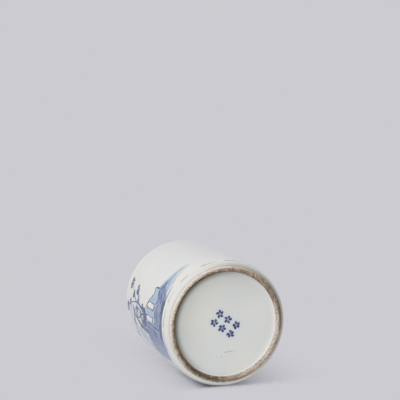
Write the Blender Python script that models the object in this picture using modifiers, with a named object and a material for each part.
"""A porcelain brush pot: a straight, open cylinder on a bare foot ring, with its glaze coats.

Metres, +Z up. The pot stands upright with its axis on Z, and the origin is at the centre of the plane that
the foot ring stands on. It is built as a potter builds it: a thrown wall, a base slab, a turned foot ring,
and a coat of glaze outside, inside and under the base. Each piece is a turned profile.
"""
import math

import bpy
import numpy as np

MM = 0.001

# Driving dimensions
HEIGHT = 123.6 * MM  # foot to lip
BODY_RADIUS = 54.5 * MM  # glazed outside, just above the heel and again halfway up
LIP_NARROWING = 2.5 * MM  # how much smaller the radius is at the lip
WALL_THICKNESS = 5.0 * MM  # wall with both its coats
GLAZE = 0.6 * MM  # thickness of every glaze coat
CLEARANCE = 0.3 * MM  # gap between pieces that touch

# Heel, where the outside turns in to the foot ring
HEEL_WIDTH = 4.2 * MM  # how far it turns in
HEEL_START = 1.7 * MM  # height of the glaze's lower edge
HEEL_HEIGHT = 8.2 * MM  # from that edge up to the straight side

# Foot ring
FOOT_WIDTH = 4.2 * MM  # of the bare band
FOOT_HEIGHT = 3.8 * MM
FOOT_EDGE = 0.8 * MM  # radius of the ring's two worn lower edges

# Bottom of the pot
FLOOR_THICKNESS = 9.0 * MM  # foot plane to the glazed floor of the well
WELL_FILLET = 5.0 * MM  # radius where the floor meets the side
RECESS_POOL = 2.4 * MM  # reach of the thick glaze in the corner of the recess

SIDE_POINTS = 6  # points up the curved side
HEEL_POINTS = 5
LIP_POINTS = 7
FILLET_POINTS = 4
EDGE_POINTS = 3
TURN_STEPS = 60  # facets round every turned piece

PORCELAIN = (0.86, 0.85, 0.82)
BISCUIT = (0.36, 0.27, 0.20)
OUTER_WHITE = (0.76, 0.77, 0.76)
BASE_WHITE = (0.62, 0.64, 0.60)


def clear_scene():
    for ob in list(bpy.data.objects):
        bpy.data.objects.remove(ob, do_unlink=True)


def arc(centre, radius, start, end, count):
    """Points (r, z) on an arc; radius is one number, or (along r, along z) for a stretched arc."""
    along_r, along_z = radius if isinstance(radius, tuple) else (radius, radius)
    angles = np.radians(np.linspace(start, end, count))
    return [
        (centre[0] + along_r * math.cos(a), centre[1] + along_z * math.sin(a))
        for a in angles
    ]


def outer_radius(z):
    """Glazed outside radius at height z: level at first, then one gentle curve in towards the lip."""
    u = (z - HEEL_START - HEEL_HEIGHT) / (HEIGHT - HEEL_START - HEEL_HEIGHT)
    return BODY_RADIUS - LIP_NARROWING * u * (2 * u - 1)


def well_radius(z):
    """Glazed inside radius at height z."""
    return outer_radius(z) - WALL_THICKNESS


def glazed_outside(inset, heel_end=-90):
    """The outside from the lip's inner edge, over the lip, down the side and round the heel to the angle
    heel_end, set in by inset from the glazed surface."""
    lip_round = WALL_THICKNESS / 2
    lip_z = HEIGHT - lip_round
    lip_centre = (outer_radius(lip_z) - lip_round, lip_z)
    lip = arc(lip_centre, lip_round - inset, 180, 0, LIP_POINTS)
    shoulder_z = HEEL_START + HEEL_HEIGHT
    heights = np.linspace(lip_z, shoulder_z, SIDE_POINTS)[1:-1]
    side = [(outer_radius(z) - inset, z) for z in heights]
    heel_centre = (BODY_RADIUS - HEEL_WIDTH, shoulder_z)
    heel_radii = (HEEL_WIDTH - inset, HEEL_HEIGHT - inset)
    return lip + side + arc(heel_centre, heel_radii, 0, heel_end, HEEL_POINTS)


def glazed_well(inset):
    """The inside from the top of the side down to the edge of the flat floor, set out by inset."""
    top_z = HEIGHT - WALL_THICKNESS / 2 - CLEARANCE
    fillet_z = FLOOR_THICKNESS + WELL_FILLET
    centre = (well_radius(fillet_z) - WELL_FILLET, fillet_z)
    heights = np.linspace(top_z, fillet_z, SIDE_POINTS)
    side = [(well_radius(z) + inset, z) for z in heights[:-1]]
    return side + arc(centre, WELL_FILLET + inset, 0, -90, FILLET_POINTS)


def foot_radii():
    """Outer and inner radius of the foot ring, which stands clear of the heel's lower edge."""
    outer = BODY_RADIUS - HEEL_WIDTH - CLEARANCE
    return outer, outer - FOOT_WIDTH


def slab_radius():
    """The slab reaches the middle of the foot ring's width, so that the ring carries slab and wall."""
    return sum(foot_radii()) / 2


def turned(name, profile, closed, material, collection):
    """Turns a profile of (r, z) points round Z into a solid."""
    mesh = bpy.data.meshes.new(name)
    edges = [(i, i + 1) for i in range(len(profile) - 1)]
    if closed:
        edges.append((len(profile) - 1, 0))
    mesh.from_pydata([(r, 0.0, z) for r, z in profile], edges, [])
    ob = bpy.data.objects.new(name, mesh)
    collection.objects.link(ob)
    screw = ob.modifiers.new("turn", "SCREW")
    screw.axis = "Z"
    screw.steps = screw.render_steps = TURN_STEPS
    screw.use_merge_vertices = True
    screw.merge_threshold = 0.01 * MM
    screw.use_smooth_shade = True
    mesh.materials.append(material)
    return ob


def ceramic(name, colour, roughness):
    material = bpy.data.materials.new(name)
    material.use_nodes = True
    shader = material.node_tree.nodes["Principled BSDF"]
    shader.inputs["Base Color"].default_value = (*colour, 1.0)
    shader.inputs["Roughness"].default_value = roughness
    shader.inputs["Metallic"].default_value = 0.0
    return material


def make_outer_glaze(collection):
    """The outside coat: its glazed face down, then its back face up again."""
    face = glazed_outside(0.0)
    back = glazed_outside(GLAZE)
    material = ceramic("clear_glaze_outside", OUTER_WHITE, 0.12)
    turned("outer_glaze", face + back[::-1], True, material, collection)


def make_inner_glaze(collection):
    """The inside coat: its back, against the clay, from the lip down to the axis, then its face up again."""
    face = glazed_well(0.0) + [(0.0, FLOOR_THICKNESS)]
    back = glazed_well(GLAZE) + [(0.0, FLOOR_THICKNESS - GLAZE)]
    material = ceramic("clear_glaze_inside", OUTER_WHITE, 0.15)
    turned("inner_glaze", face[::-1] + back, False, material, collection)


def make_wall(collection):
    """The thrown cylinder, which stands on the foot ring, holds the slab and goes up into the lip."""
    inset = GLAZE + CLEARANCE
    base_z = FOOT_HEIGHT + CLEARANCE
    shoulder_z = HEEL_START + HEEL_HEIGHT
    heel_end = math.asin((shoulder_z - base_z) / (HEEL_HEIGHT - inset))
    outside = glazed_outside(inset, -math.degrees(heel_end))
    bore = slab_radius() + CLEARANCE
    seat = [(bore, base_z), (bore, FLOOR_THICKNESS - inset)]
    inside = [p for p in glazed_well(inset)[1:] if p[0] > bore]
    material = ceramic("porcelain_clay", PORCELAIN, 0.6)
    turned("wall", outside + seat + inside[::-1], True, material, collection)


def make_base_slab(collection):
    """The disc that closes the cylinder, inside the wall's lower end."""
    radius = slab_radius()
    top_z = FLOOR_THICKNESS - GLAZE - CLEARANCE
    bottom_z = FOOT_HEIGHT + CLEARANCE
    profile = [(0.0, top_z), (radius, top_z), (radius, bottom_z), (0.0, bottom_z)]
    material = ceramic("porcelain_clay_base", PORCELAIN, 0.6)
    turned("base_slab", profile, False, material, collection)


def make_foot_ring(collection):
    """The bare ring, with its two lower edges worn round."""
    outer, inner = foot_radii()
    worn_outer = arc((outer - FOOT_EDGE, FOOT_EDGE), FOOT_EDGE, 0, -90, EDGE_POINTS)
    worn_inner = arc((inner + FOOT_EDGE, FOOT_EDGE), FOOT_EDGE, -90, -180, EDGE_POINTS)
    top = [(inner, FOOT_HEIGHT), (outer, FOOT_HEIGHT)]
    material = ceramic("bare_biscuit", BISCUIT, 0.8)
    profile = top[1:] + worn_outer + worn_inner + top[:1]
    turned("foot_ring", profile, True, material, collection)


def make_base_glaze(collection):
    """The coat in the recess: a thin disc that pools thick in the corner against the foot ring."""
    rim = foot_radii()[1] - CLEARANCE
    top_z = FOOT_HEIGHT
    face_z = top_z - GLAZE
    pool_depth = face_z - HEEL_START
    centre = (rim - RECESS_POOL, HEEL_START)
    pool = arc(centre, (RECESS_POOL, pool_depth), 0, 90, FILLET_POINTS)
    profile = [(0.0, top_z), (rim, top_z)] + pool + [(0.0, face_z)]
    material = ceramic("clear_glaze_base", BASE_WHITE, 0.15)
    turned("base_glaze", profile, False, material, collection)


def build():
    clear_scene()
    pot = bpy.data.collections.new("brush_pot")
    bpy.context.scene.collection.children.link(pot)
    make_wall(pot)
    make_base_slab(pot)
    make_foot_ring(pot)
    make_outer_glaze(pot)
    make_inner_glaze(pot)
    make_base_glaze(pot)


build()
